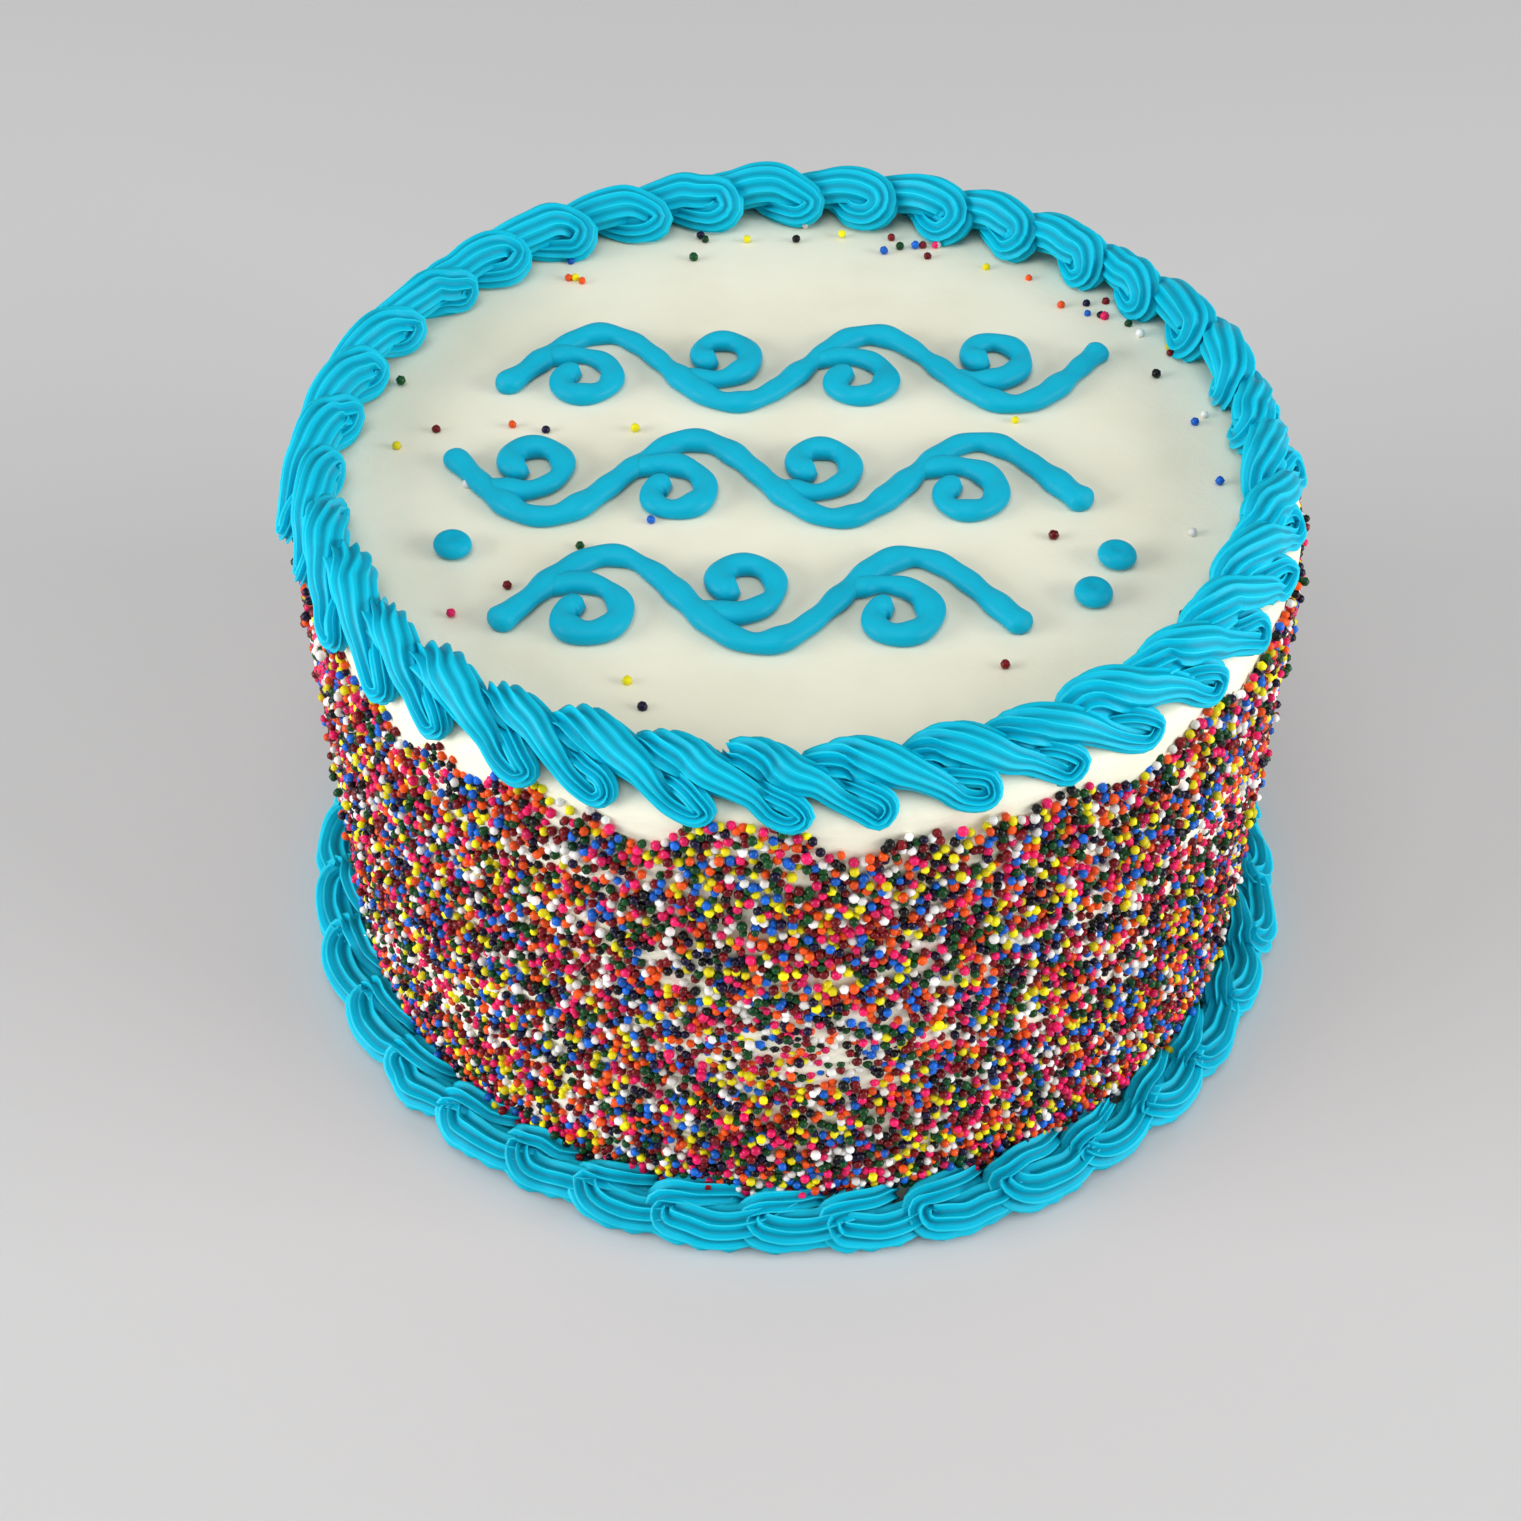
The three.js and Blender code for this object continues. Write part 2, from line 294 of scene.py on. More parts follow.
@dataclass(frozen=True)
class BlueIcing:
    """Piped blue buttercream, with a painted highlight on its crests and painted shade in its
    grooves.
    """

    name: str
    slot: str
    # crest is a painted highlight colour, groove a painted shade colour, and body the icing's own
    # blue.
    crest: Colour
    groove: Colour
    body: Colour
    gloss_rough: float = 0.38
    crest_highlight_share: float = 0.9
    cloud_waves: float = 60.0
    cloud_share: float = 0.25
    grain_waves: float = 900.0
    pucker_waves: float = 260.0
    pucker_share: float = 0.6
    sheen_waves: float = 400.0
    relief_depth: float = 0.00025

    def material(self) -> bpy.types.Material:
        """Builds the finish.

        Returns:
            The material.
        """
        graph = Graph(self.name)
        place = graph.place()
        ridge = graph.mark("ridge")
        # Painted light: the ridge mark paints shade into the grooves and a highlight onto the
        # crests.
        colour = graph.mixed(ridge.between(0.0, 0.4), self.groove, self.body)
        colour = graph.mixed(ridge.between(0.6, 1.0) * self.crest_highlight_share, colour, self.crest)
        cloud = graph.noise(place, self.cloud_waves).between(0.45, 0.8)
        colour = graph.mixed(cloud * self.cloud_share, colour, self.groove)
        pucker = self.pucker_share * graph.noise(place, self.pucker_waves)
        relief = graph.noise(place, self.grain_waves, 3.0) + pucker
        return graph.finish(
            Base_Color=colour,
            Roughness=self.gloss_rough + 0.2 * graph.noise(place, self.sheen_waves),
            Specular_IOR_Level=0.12,
            Subsurface_Weight=0.1, Subsurface_Radius=(0.3, 0.8, 1.0), Subsurface_Scale=0.0015,
            Normal=graph.bump(relief, 0.25, self.relief_depth))


@dataclass(frozen=True)
class SugarShell:
    """The hard glossy coat of one colour of round sprinkle."""

    name: str
    slot: str
    colour: Colour
    darkest: float = 0.62
    palest: float = 1.18
    lift: float = 0.002
    speck_waves: float = 1500.0
    speck_share: float = 0.3
    sheen_waves: float = 900.0
    relief_depth: float = 0.0001

    def material(self) -> bpy.types.Material:
        """Builds the finish.

        Returns:
            The material.
        """
        graph = Graph(self.name)
        place = graph.place()
        dark = tuple(self.darkest * part for part in self.colour)
        pale = tuple(min(1.0, self.palest * part + self.lift) for part in self.colour)
        colour = graph.mixed(graph.mark("tone"), dark, pale)
        speck = graph.noise(place, self.speck_waves)
        colour = graph.mixed(speck.between(0.55, 0.85) * self.speck_share, colour, pale)
        return graph.finish(
            Base_Color=colour,
            Roughness=0.2 + 0.2 * graph.noise(place, self.sheen_waves, 1.0),
            Specular_IOR_Level=0.22, Coat_Weight=0.05, Coat_Roughness=0.1,
            Normal=graph.bump(speck, 0.12, self.relief_depth))


@dataclass(frozen=True)
class PaleFloor:
    """The plain pale ground that the cake stands on."""

    name: str = "pale_floor"
    colour: Colour = paint(208, 208, 208)
    cloud_waves: float = 3.0
    darkest: float = 0.97

    def material(self) -> bpy.types.Material:
        """Builds the finish.

        Returns:
            The material.
        """
        graph = Graph(self.name)
        cloud = graph.noise(graph.place(), self.cloud_waves)
        low = tuple(self.darkest * part for part in self.colour)
        return graph.finish(Base_Color=graph.mixed(cloud, low, self.colour), Roughness=0.6)


class Sprinkle(Enum):
    """The nine colours of the sprinkles: display colour, and how common each is."""

    PINK = ((240, 24, 100), 13)
    MAROON = ((116, 4, 14), 16)
    ORANGE = ((250, 84, 16), 12)
    YELLOW = ((250, 228, 14), 11)
    GREEN = ((6, 68, 26), 12)
    BLUE = ((16, 100, 208), 10)
    NAVY = ((16, 5, 46), 9)
    BLACK = ((6, 4, 6), 7)
    WHITE = ((254, 249, 242), 12)

    @property
    def slot(self) -> str:
        """The record's material slot."""
        return f"sprinkle_{self.name.lower()}"

    def shell(self) -> SugarShell:
        """The finish of this colour."""
        return SugarShell(f"sugar_{self.name.lower()}", self.slot, paint(*self.value[0]))


def make_piece(name: str, points: Points, faces: Sequence[Sequence[int]] | Points,
               finish: WhiteIcing | BlueIcing | SugarShell, stands_for: Sequence[str],
               marks: dict[str, Points] | None = None) -> bpy.types.Object:
    """Writes one smooth-shaded piece, dresses it and puts it in the frame.

    Args:
        name: the piece's name.
        points: its vertices in millimetres.
        faces: vertex numbers of each face.
        finish: what it is dressed in.
        stands_for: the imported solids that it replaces.
        marks: a number for each vertex, under the name that a finish reads.

    Returns:
        The object.
    """
    mesh = bpy.data.meshes.new(name)
    faces = faces.tolist() if isinstance(faces, np.ndarray) else faces
    mesh.from_pydata((points * MM).tolist(), [], faces)
    mesh.polygons.foreach_set("use_smooth", np.ones(len(mesh.polygons), dtype=bool))
    for key, values in (marks or {}).items():
        layer = mesh.attributes.new(key, "FLOAT", "POINT")
        layer.data.foreach_set("value", np.asarray(values, dtype=np.float32))
    mesh.validate()
    mesh.update()
    mesh.materials.append(finish.material())
    piece = bpy.data.objects.new(name, mesh)
    bpy.context.scene.collection.objects.link(piece)
    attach(piece, BODY)
    if stands_for:
        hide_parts(*stands_for)
    log.info("%s: %d vertices, %d faces", name, len(mesh.vertices), len(mesh.polygons))
    return piece


def grid_faces(rows: int, columns: int, closed_rows: bool) -> list[tuple[int, int, int, int]]:
    """Faces over a grid of points whose columns close on themselves.

    Args:
        rows: the number of rings of points.
        columns: the points in each ring.
        closed_rows: whether the last ring joins the first.

    Returns:
        Four vertex numbers for each face.
    """
    faces = []
    for row in range(rows if closed_rows else rows - 1):
        following = (row + 1) % rows
        for column in range(columns):
            beside = (column + 1) % columns
            faces.append((row * columns + column, row * columns + beside,
                          following * columns + beside, following * columns + column))
    return faces


def spans(line: Points) -> Points:
    """The way from the row before to the row after, for each row of a closed line."""
    return np.roll(line, -1, axis=0) - np.roll(line, 1, axis=0)


def ring_noise(angles: Points, heights: Points, seed: int, waves: int, terms: int,
               across: float) -> Points:
    """Smooth noise round a ring, about -1 to 1, that meets itself after a full turn.

    Args:
        angles: the angle of each point.
        heights: the second coordinate of each point, in millimetres.
        seed: the seed of the draw.
        waves: the most waves in a full turn.
        terms: how many waves are added.
        across: the shortest wave over the second coordinate, in millimetres.

    Returns:
        The noise at each point.
    """
    draw = np.random.default_rng(seed)
    total = np.zeros(np.broadcast(angles, heights).shape)
    for _ in range(terms):
        count = int(draw.integers(1, waves + 1))
        slope = math.tau / (across * draw.uniform(1, 4)) * draw.choice((-1, 1))
        total = total + np.sin(count * angles + slope * heights + draw.uniform(0, math.tau))
    return total / math.sqrt(terms)


@dataclass(frozen=True)
class Stop:
    """One place on a piped rope's centre line, counted from its shell's head."""

    along: float
    out: float
    up: float
    girth: float
    groove: float = 0.9
    twist: float = 0.0

    def towards(self, other: "Stop", share: float) -> "Stop":
        """The stop a share of the way from this one to the other."""
        return Stop(*(mix(*pair, share) for pair in zip(astuple(self), astuple(other))))


@dataclass
class PipedRope:
    """A rope from a star tip, laid in overlapping back-and-forth shells round the cake.

    Each shell is a list of stops. along runs round the ring, out from the ring's radius,
    up from its base, girth is the rope's radius there and groove how deep its grooves are.
    twist is how many crests the rope has turned since the shell's head. The stops change
    evenly from the front of the cake to its back, and the ring may lie a little aside.
    """

    name: str
    stands_for: str
    radius: float
    base: float
    start_degrees: float
    stops: tuple[Stop, ...]
    back_stops: tuple[Stop, ...]
    finish: BlueIcing
    crests: int = 10
    crest_places: tuple[float, ...] = (0.0, 0.2, 0.54, 1.0, 1.46, 1.8)
    tightest: float = 0.85
    step: float = 1.1
    jitter_along: float = 2.0
    jitter_out: float = 1.2
    jitter_size: float = 0.13
    jitter_girth: float = 0.06
    looseness: float = 1.3
    loose_out: float = 0.6
    loose_up: float = 0.7
    shift: tuple[float, float] = (0.0, 0.0)
    ripple: float = 0.0
    ripples: int = 4
    ripple_gain: float = 1.4
    ripple_from: float = 0.25
    straightest: float = 0.05
    bend_passes: int = 3
    floor: float | None = None
    kind: int = 0

    def chance(self, index: int, draw: int) -> float:
        """A repeatable number from -0.5 to 0.5, another one for each index and draw."""
        return uneven(index, self.kind + draw) - 0.5

    def centre_stops(self) -> Points:
        """Places every stop of every shell.

        Returns:
            A row of x, y, z, girth, groove and turned crests for each stop.
        """
        rows = []
        crests_turned = 0.0
        for shell in range(STROKES):
            angle = math.radians(self.start_degrees) + shell * PITCH
            angle -= DRIFT * math.cos(angle)
            angle += self.jitter_along * self.chance(shell, 1) / self.radius
            size = 1 + SWELL * math.sin(angle)
            size += self.jitter_size * self.chance(shell, 2)
            sway = self.jitter_out * self.chance(shell, 3)
            backness = (1 + math.sin(angle)) / 2
            for number, (front, back) in enumerate(zip(self.stops, self.back_stops)):
                stop = front.towards(back, backness)
                wobble = [self.looseness * self.chance(shell * WOBBLE_STRIDE + number, 4 + k)
                          for k in range(3)]
                turned = angle + (stop.along * size + wobble[0]) / self.radius
                reach = self.radius + stop.out * size + sway + self.loose_out * wobble[1]
                up = self.base + stop.up * size + self.loose_up * wobble[2]
                swell = self.jitter_girth * self.chance(shell * GIRTH_STRIDE + number, 5)
                girth = stop.girth * (size + swell)
                rows.append((reach * math.cos(turned) - self.shift[0],
                             reach * math.sin(turned) - self.shift[1], up, girth, stop.groove,
                             crests_turned + stop.twist))
            crests_turned += stop.twist
        return np.array(rows)

    def centre_line(self) -> Points:
        """Draws a smooth closed curve through the stops.

        Returns:
            A row of x, y, z, girth, groove and turned crests for each station.
        """
        stops = self.centre_stops()
        count = len(stops)
        lap = np.array((0, 0, 0, 0, 0, stops[-1][5]))
        stations = []
        for number in range(count):
            before, here, after, beyond = (
                stops[(number + k) % count] + lap * ((number + k) // count) for k in (-1, 0, 1, 2))
            knots = [0.0]
            for one, two in ((before, here), (here, after), (after, beyond)):
                knots.append(knots[-1] + math.sqrt(np.linalg.norm((two - one)[:3])) + 1e-6)
            span = np.linalg.norm((after - here)[:3])
            steps = max(3, round(span / self.step))
            for share in np.arange(steps) / steps:
                t = mix(knots[1], knots[2], share)
                a1 = before + (here - before) * (t - knots[0]) / (knots[1] - knots[0])
                a2 = here + (after - here) * (t - knots[1]) / (knots[2] - knots[1])
                a3 = after + (beyond - after) * (t - knots[2]) / (knots[3] - knots[2])
                b1 = a1 + (a2 - a1) * (t - knots[0]) / (knots[2] - knots[0])
                b2 = a2 + (a3 - a2) * (t - knots[1]) / (knots[3] - knots[1])
                stations.append(b1 + (b2 - b1) * (t - knots[1]) / (knots[2] - knots[1]))
        return np.array(stations)

    def frames(self, tangents: Points, twist: Points) -> tuple[Points, Points]:
        """Carries a direction across the rope along it, turned only by the given twist.

        Args:
            tangents: the rope's direction at each station.
            twist: how many crests the rope has turned at each station.

        Returns:
            Two directions across the rope at each station, which meet after a full round.
        """
        carried = np.array((0.0, 0.0, 1.0))
        across = []
        for tangent in (*tangents, tangents[0]):
            carried = carried - tangent * carried.dot(tangent)
            carried /= np.linalg.norm(carried)
            across.append(carried)
        miss = math.atan2(np.cross(carried, across[0]).dot(tangents[0]), carried.dot(across[0]))
        across = np.array(across[:-1])
        crest = math.tau / self.crests
        miss -= crest * twist[-1]
        miss -= crest * round(miss / crest)
        turn = (miss * np.arange(len(tangents)) / len(tangents) + crest * twist)[:, None]
        raised = np.cross(tangents, across)
        return (across * np.cos(turn) + raised * np.sin(turn),
                raised * np.cos(turn) - across * np.sin(turn))

    def kept_open(self, spread: Points, centres: Points, tangents: Points,
                  rays: Points) -> Points:
        """Thins the rope inside a tight bow, so that it doesn't fold through itself.

        Args:
            spread: how far each point of each section lies from the centre line.
            centres: the centre line.
            tangents: the rope's direction at each station.
            rays: the direction of each point of each section.

        Returns:
            The spread, no more than the bow has room for.
        """
        bend = spans(tangents) / np.linalg.norm(spans(centres), axis=1, keepdims=True)
        for _ in range(self.bend_passes):
            bend = (np.roll(bend, -1, axis=0) + 2 * bend + np.roll(bend, 1, axis=0)) / 4
        lean = np.einsum("ij,ikj->ik", bend, rays)
        return np.minimum(spread, self.tightest / np.maximum(lean, self.straightest))

    def build(self) -> bpy.types.Object:
        """Sweeps the star along the centre line.

        Returns:
            The piece.
        """
        line = self.centre_line()
        centres, girths, grooves = line[:, :3], line[:, 3], line[:, 4]
        tangents = spans(centres)
        tangents /= np.linalg.norm(tangents, axis=1, keepdims=True)
        across, raised = self.frames(tangents, line[:, 5])
        places = np.array(self.crest_places)
        around = (np.arange(self.crests)[:, None] + places[None, :] / 2).reshape(-1)
        around = around * math.tau / self.crests
        ridge = np.tile(np.abs(1 - places) ** 2, self.crests)
        rays = across[:, None, :] * np.cos(around)[None, :, None]
        rays = rays + raised[:, None, :] * np.sin(around)[None, :, None]
        spread = girths[:, None] - grooves[:, None] * (1 - ridge)[None, :]
        spread = self.kept_open(spread, centres, tangents, rays)
        if self.ripple:
            turn = np.arctan2(centres[:, 1], centres[:, 0])[:, None]
            pressed = np.clip(-rays[:, :, 2] * self.ripple_gain - self.ripple_from, 0, 1)
            spread = spread + self.ripple * pressed * np.sin(STROKES * self.ripples * turn)
        points = centres[:, None, :] + rays * spread[:, :, None]
        if self.floor is not None:
            points[:, :, 2] = np.maximum(points[:, :, 2], self.floor)
        faces = grid_faces(len(centres), len(around), True)
        # The ridge mark also sets the finish's painted highlight on the crests and its painted
        # shade in the grooves.
        ridges = np.tile(ridge, len(centres))
        return make_piece(self.name, points.reshape(-1, 3), faces, self.finish,
                          (self.stands_for,), {"ridge": ridges})


@dataclass
class CakeBody:
    """The round of cake under its smoothed buttercream."""

    height: float = DECK
    radius: float = CAKE_RADIUS
    edge_round: float = 5.0
    foot_round: float = 1.5
    segments: int = 300
    side_relief: float = 0.35
    top_relief: float = 0.16
    under_shares: tuple[float, ...] = (0.33, 0.66, 0.9)
    foot_steps: int = 4
    side_steps: int = 60
    edge_steps: int = 8
    top_steps: int = 44
    shoulder: float = 1.2
    foot_fade: float = 6.0
    calm_middle: float = 30.0
    stain_below_top: float = 9.0
    stain_fade: float = 6.0
    finish: WhiteIcing = field(default_factory=WhiteIcing)

    def profile(self) -> list[tuple[float, float]]:
        """The outline from the middle of the underside to the middle of the top.

        Returns:
            Pairs of radius and height.
        """
        line = [(share * (self.radius - self.foot_round), 0.0) for share in self.under_shares]
        for step in range(self.foot_steps + 1):
            turn = math.radians(-90 + 90 / self.foot_steps * step)
            line.append((self.radius - self.foot_round * (1 - math.cos(turn)),
                         self.foot_round * (1 + math.sin(turn))))
        side_top = self.height - self.edge_round
        for step in range(1, self.side_steps):
            line.append((self.radius, mix(self.foot_round, side_top, step / self.side_steps)))
        for step in range(self.edge_steps + 1):
            turn = math.radians(90 / self.edge_steps * step)
            line.append((self.radius - self.edge_round * (1 - math.cos(turn)),
                         side_top + self.edge_round * math.sin(turn)))
        flat = self.radius - self.edge_round
        line += [(flat * (1 - step / self.top_steps), self.height)
                 for step in range(1, self.top_steps)]
        return line

    def build(self) -> bpy.types.Object:
        """Turns the outline round the axis with a little relief.

        Returns:
            The piece.
        """
        line = np.array(self.profile())
        angles = np.arange(self.segments) * math.tau / self.segments
        turned, heights = np.broadcast_arrays(angles[None, :], line[:, 1:2])
        on_top = np.clip((heights - (self.height - self.shoulder)) / self.shoulder, 0, 1)
        lifted = np.clip(heights / self.foot_fade, 0, 1)
        reach = np.broadcast_to(line[:, 0:1], turned.shape).copy()
        side = ring_noise(turned, heights, seed=11, waves=9, terms=10, across=26.0)
        side = side + 0.5 * ring_noise(turned, heights, seed=12, waves=26, terms=12, across=9.0)
        reach = reach + (1 - on_top) * lifted * self.side_relief * side
        fall = ring_noise(turned, reach, seed=13, waves=5, terms=9, across=30.0)
        fall = fall * np.clip(reach / self.calm_middle, 0, 1)
        points = np.stack((reach * np.cos(turned), reach * np.sin(turned),
                           heights + on_top * self.top_relief * fall), axis=2)
        rings = len(line)
        faces: list[tuple[int, ...]] = list(grid_faces(rings, self.segments, False))
        under, top = rings * self.segments, rings * self.segments + 1
        last = (rings - 1) * self.segments
        for column in range(self.segments):
            beside = (column + 1) % self.segments
            faces.append((under, beside, column))
            faces.append((top, last + column, last + beside))
        points = np.vstack((points.reshape(-1, 3), (0, 0, 0), (0, 0, self.height)))
        side_mark = np.append(((1 - on_top) * lifted).reshape(-1), (0, 0))
        below = self.height - self.stain_below_top - points[:, 2]
        stained = np.clip(below / self.stain_fade, 0, 1) * side_mark
        return make_piece("buttercream", points, faces, self.finish, ("cake_body",),
                          {"side": side_mark, "stained": stained})


@dataclass
class SprinkleCoat:
    """Round sprinkles pressed all over the side, and a few strays on the top."""

    height: float = DECK
    radius: float = CAKE_RADIUS
    ball: float = 0.96
    apart: float = 1.66
    filler_apart: float = 1.3
    tries: int = 300000
    lowest: float = 7.0
    bare_band: float = 6.6
    ragged: float = 5.5
    ragged_share: float = 0.6
    brim_fade: float = 3.5
    brim_strays: float = 0.06
    bare_edge: float = 3.5
    gaps: int = 640
    gap_lowest: float = 14.0
    gap_margin: float = 20.0
    gap_longs: tuple[float, float] = (2.0, 6.8)
    gap_highs: tuple[float, float] = (1.3, 2.5)
    gap_tilt: float = 0.16
    gap_strays: float = 0.1
    sizes: tuple[float, float, float] = (0.075, 0.8, 1.22)
    sinks: tuple[float, float] = (0.1, 0.5)
    filler_sinks: float = 0.45
    piled_share: float = 0.07
    piled_scatter: float = 0.9
    piled_lifts: tuple[float, float] = (0.9, 1.4)
    stray_field: float = 82.0
    strays: int = 22
    stray_nearest: float = 0.02
    stray_sizes: tuple[float, float, float] = (0.07, 0.85, 1.15)
    stray_rests: tuple[float, float] = (0.55, 0.9)
    drifted: int = 34
    drift_turn: tuple[float, float] = (50.0, 48.0)
    drift_band: tuple[float, float] = (-3.0, 5.5)
    seed: int = 2026

    def side_spots(self, draw: np.random.Generator) -> Points:
        """Throws sprinkles at the unrolled side, none nearer to another than they fit.

        Args:
            draw: the seeded draw.

        Returns:
            Distance round the side, height, and 1 for a sprinkle deep between the others.
        """
        around = math.tau * self.radius
        spots = draw.random((self.tries, 2)) * (around, self.height - self.lowest)
        spots[:, 1] += self.lowest
        angles = spots[:, 0] / self.radius
        brim = self.height - self.bare_band
        brim = brim + self.ragged * self.ragged_share * ring_noise(
            angles, 0 * angles, seed=21, waves=40, terms=12, across=9.0)
        likely = np.clip((brim - spots[:, 1]) / self.brim_fade + self.brim_strays, 0, 1)
        keep = draw.random(self.tries) < likely
        keep &= spots[:, 1] < self.height - self.bare_edge
        middles = draw.random((self.gaps, 2)) * (around, self.height - self.gap_margin)
        middles = middles + (0, self.gap_lowest)
        longs = draw.uniform(*self.gap_longs, self.gaps)
        highs = draw.uniform(*self.gap_highs, self.gaps)
        tilts = draw.normal(0, self.gap_tilt, self.gaps)
        chance = draw.random(self.tries)
        for middle, long, high, tilt in zip(middles, longs, highs, tilts):
            aside = (spots[:, 0] - middle[0] + around / 2) % around - around / 2
            above = spots[:, 1] - middle[1] - aside * tilt
            outside = (aside / long) ** 2 + (above / high) ** 2 > 1
            keep &= outside | (chance < self.gap_strays)
        taken: dict[tuple[int, int], list[tuple[float, float]]] = {}
        columns = int(around / self.apart)
        cell = around / columns
        chosen = []
        for depth, apart in enumerate((self.apart, self.filler_apart)):
            for along, up in spots[keep].tolist():
                column, row = int(along / cell), int(up / cell)
                near = (spot for i in (-1, 0, 1) for j in (-1, 0, 1)
                        for spot in taken.get(((column + i) % columns, row + j), ()))
                if all(self._clear(along, up, spot, apart) for spot in near):
                    taken.setdefault((column, row), []).append((along, up))
                    chosen.append((along, up, depth))
        return np.array(chosen)

    def _clear(self, along: float, up: float, spot: tuple[float, float], apart: float) -> bool:
        """Tells whether a new sprinkle stays clear of one that is there.

        Args:
            along: the new sprinkle's distance round the side.
            up: its height.
            spot: the other one's distance round the side and height.
            apart: how near they may be.

        Returns:
            True where they are far enough apart.
        """
        around = math.tau * self.radius
        aside = abs(along - spot[0])
        aside = min(aside, around - aside)
        return aside * aside + (up - spot[1]) ** 2 >= apart * apart

    def side_balls(self, draw: np.random.Generator) -> Points:
        """Places the side's sprinkles, with some lying on the others.

        Args:
            draw: the seeded draw.

        Returns:
            A row of x, y, z and radius for each.
        """
        spots = self.side_spots(draw)
        piled = spots[draw.random(len(spots)) < self.piled_share]
        piled = piled + draw.normal(0, self.piled_scatter, piled.shape) * (1, 1, 0)
        spots = np.vstack((spots, piled))
        spread, least, most = self.sizes
        size = self.ball * draw.normal(1, spread, len(spots)).clip(least, most)
        sunk = draw.uniform(*self.sinks, len(spots)) + self.filler_sinks * spots[:, 2]
        sunk[-len(piled):] -= draw.uniform(*self.piled_lifts, len(piled))
        reach = self.radius + size - sunk
        angles = spots[:, 0] / self.radius
        return np.column_stack((reach * np.cos(angles), reach * np.sin(angles), spots[:, 1], size))

    def top_balls(self, draw: np.random.Generator) -> Points:
        """Places the strays on the top, most of them against the border at the back and right.

        Args:
            draw: the seeded draw.

        Returns:
            A row of x, y, z and radius for each.
        """
        angles = draw.uniform(0, math.tau, self.strays)
        reach = self.stray_field * np.sqrt(draw.uniform(self.stray_nearest, 1, self.strays))
        drift_angles = np.radians(draw.normal(*self.drift_turn, self.drifted))
        inner, outer = (self.stray_field + edge for edge in self.drift_band)
        drift_reach = draw.uniform(inner, outer, self.drifted)
        angles, reach = np.append(angles, drift_angles), np.append(reach, drift_reach)
        spread, least, most = self.stray_sizes
        size = self.ball * draw.normal(1, spread, len(angles)).clip(least, most)
        up = self.height + size * draw.uniform(*self.stray_rests, len(angles))
        return np.column_stack((reach * np.cos(angles), reach * np.sin(angles), up, size))

    @staticmethod
    def unit_ball() -> tuple[Points, Points]:
        """An eight-sided ball with each face split in four and pushed out round.

        Returns:
            Its vertices at radius 1 and its triangles.
        """
        corners = [(1, 0, 0), (-1, 0, 0), (0, 1, 0), (0, -1, 0), (0, 0, 1), (0, 0, -1)]
        faces = []
        for x, y, z in ((i, j, k) for i in (0, 1) for j in (2, 3) for k in (4, 5)):
            faces.append((x, y, z) if (x + y + z) % 2 == 0 else (x, z, y))
        points = [np.array(corner, dtype=float) for corner in corners]
        halves: dict[frozenset[int], int] = {}

        def half(one: int, two: int) -> int:
            """Finds the vertex half way along an edge, made once.

            Args:
                one: the vertex at one end.
                two: the vertex at the other end.

            Returns:
                The number of the vertex between them.
            """
            key = frozenset((one, two))
            if key not in halves:
                middle = points[one] + points[two]
                halves[key] = len(points)
                points.append(middle / np.linalg.norm(middle))
            return halves[key]

        split = []
        for a, b, c in faces:
            ab, bc, ca = half(a, b), half(b, c), half(c, a)
            split += [(a, ab, ca), (ab, b, bc), (ca, bc, c), (ab, bc, ca)]
        return np.array(points), np.array(split)

    @staticmethod
    def spins(turns: Points) -> Points:
        """Turns unit quaternions into rotation matrices.

        Args:
            turns: a row of w, x, y, z for each ball.

        Returns:
            A matrix for each ball.
        """
        w, x, y, z = turns.T
        rows = ((1 - 2 * (y * y + z * z), 2 * (x * y - z * w), 2 * (x * z + y * w)),
                (2 * (x * y + z * w), 1 - 2 * (x * x + z * z), 2 * (y * z - x * w)),
                (2 * (x * z - y * w), 2 * (y * z + x * w), 1 - 2 * (x * x + y * y)))
        return np.stack([np.stack(row, 1) for row in rows], 1)

    def build(self) -> list[bpy.types.Object]:
        """Deals the sprinkles out to their colours, one piece for each.

        Returns:
            The pieces.
        """
        draw = np.random.default_rng(self.seed)
        balls = np.vstack((self.side_balls(draw), self.top_balls(draw)))
        shares = np.array([kind.value[1] for kind in Sprinkle], dtype=float)
        dealt = draw.choice(len(Sprinkle), len(balls), p=shares / shares.sum())
        turns = draw.normal(0, 1, (len(balls), 4))
        turns /= np.linalg.norm(turns, axis=1, keepdims=True)
        unit, triangles = self.unit_ball()
        pieces = []
        for number, kind in enumerate(Sprinkle):
            own = dealt == number
            mine = balls[own]
            points = np.einsum("bij,vj->bvi", self.spins(turns[own]), unit)
            points = points * mine[:, 3, None, None]
            points = (points + mine[:, None, :3]).reshape(-1, 3)
            offsets = np.arange(len(mine))[:, None, None] * len(unit)
            faces = (triangles[None] + offsets).reshape(-1, 3)
            tone = np.repeat(draw.random(len(mine)), len(unit))
            pieces.append(make_piece(f"sprinkles_{kind.name.lower()}", points, faces,
                                     kind.shell(), (), {"tone": tone}))
        return pieces


